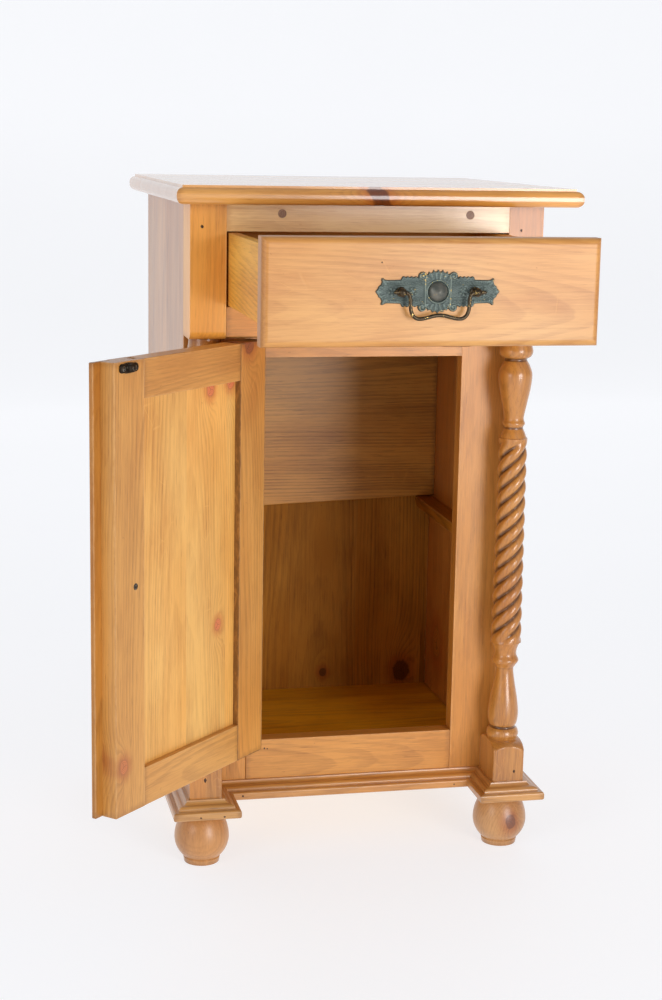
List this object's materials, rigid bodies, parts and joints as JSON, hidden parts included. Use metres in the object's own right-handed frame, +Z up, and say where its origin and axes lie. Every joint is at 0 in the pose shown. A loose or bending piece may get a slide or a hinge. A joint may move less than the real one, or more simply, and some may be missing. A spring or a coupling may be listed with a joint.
{
  "type": "bedside cabinet",
  "caption": "Pine bedside cabinet with twisted front columns, bun feet, an overlay drawer with a hanging bail pull, and a framed cupboard door.",
  "frame": {"origin": "on the floor, under the middle of the box round the whole object as it stands with its door swung open and its drawer drawn out", "axes": "+X to the right as seen from the front, +Y towards the back, +Z up"},
  "size_m": [0.5497, 0.6648, 0.78],
  "materials": {
    "pine_top": "waxed pine, satin, slightly worn on the nose",
    "pine_carcass": "stained and waxed pine, satin",
    "pine_plug": "end-grain pine plug, waxed",
    "pine_inside": "stained pine, matt, darker than outside",
    "pine_turned": "turned pine, stained and polished",
    "pine_moulding": "planed pine moulding, waxed",
    "pine_drawer_front": "waxed pale pine, glossy",
    "pine_drawer_box": "bare yellowed pine, matt",
    "pine_door": "stained and waxed pine, satin",
    "pine_door_panel": "stained pine staves, satin",
    "pull_cast": "antiqued grey-green casting, brass showing on the high spots",
    "pull_wire": "blackened brass, worn to bright metal",
    "hinge_steel": "dull plated steel",
    "catch_iron": "black lacquered iron",
    "knob_wood": "turned pine knob, waxed"
  },
  "bodies": {
    "carcass": {"top_board": "pine_top", "side_panel_left": "pine_carcass", "side_panel_right": "pine_carcass", "upper_post_left": "pine_carcass", "upper_post_right": "pine_carcass", "top_rail": "pine_carcass", "drawer_rail": "pine_carcass", "head_rail": "pine_carcass", "lower_stile_left": "pine_carcass", "lower_stile_right": "pine_carcass", "bottom_rail": "pine_carcass", "hanging_strip": "pine_carcass", "rail_plugs": "pine_plug", "dust_board": "pine_inside", "drawer_runner_left": "pine_inside", "drawer_runner_right": "pine_inside", "drawer_guide_left": "pine_inside", "drawer_guide_right": "pine_inside", "floor_board": "pine_inside", "corner_blocks": "pine_inside", "inner_back_board": "pine_inside", "back_panel": "pine_inside", "shelf_cleat_left": "pine_inside", "shelf_cleat_right": "pine_inside", "column_left": "pine_turned", "column_right": "pine_turned", "foot_front_left": "pine_turned", "foot_front_right": "pine_turned", "foot_rear_left": "pine_turned", "foot_rear_right": "pine_turned", "plinth_side_left": "pine_moulding", "plinth_block_left": "pine_moulding", "plinth_return_left": "pine_moulding", "plinth_front": "pine_moulding", "plinth_return_right": "pine_moulding", "plinth_block_right": "pine_moulding", "plinth_side_right": "pine_moulding", "hinge_leaves_post": "hinge_steel", "hinge_pins": "hinge_steel", "hinge_screws_post": "hinge_steel", "catch_keeper": "catch_iron"},
    "drawer": {"drawer_front": "pine_drawer_front", "drawer_side_left": "pine_drawer_box", "drawer_side_right": "pine_drawer_box", "drawer_back": "pine_drawer_box", "drawer_bottom": "pine_drawer_box", "pull_plate": "pull_cast", "pull_eye_bolts": "pull_wire", "pull_nuts": "pull_wire"},
    "bail": {"pull_bail": "pull_wire"},
    "door": {"door_stile_hinge": "pine_door", "door_stile_lock": "pine_door", "door_rail_top": "pine_door", "door_rail_bottom": "pine_door", "door_closing_strip": "pine_door", "door_panel": "pine_door_panel", "door_catch": "catch_iron", "door_knob": "knob_wood", "hinge_leaves_door": "hinge_steel", "door_screws": "hinge_steel"}
  },
  "joints": [
    {"name": "drawer_slide", "type": "slide", "parent": "carcass", "child": "drawer", "axis": [0, -1, 0], "range_m": [-0.2485, 0.03]},
    {"name": "bail_swing", "type": "hinge", "parent": "drawer", "child": "bail", "pos_m": [0.05435, -0.3281, 0.687], "axis": [-1, 0, 0], "range_deg": [-10, 100]},
    {"name": "door_swing", "type": "hinge", "parent": "carcass", "child": "door", "pos_m": [-0.08065, -0.0219, 0.37175], "axis": [0, 0, -1], "range_deg": [-133.8, 12]}
  ]
}
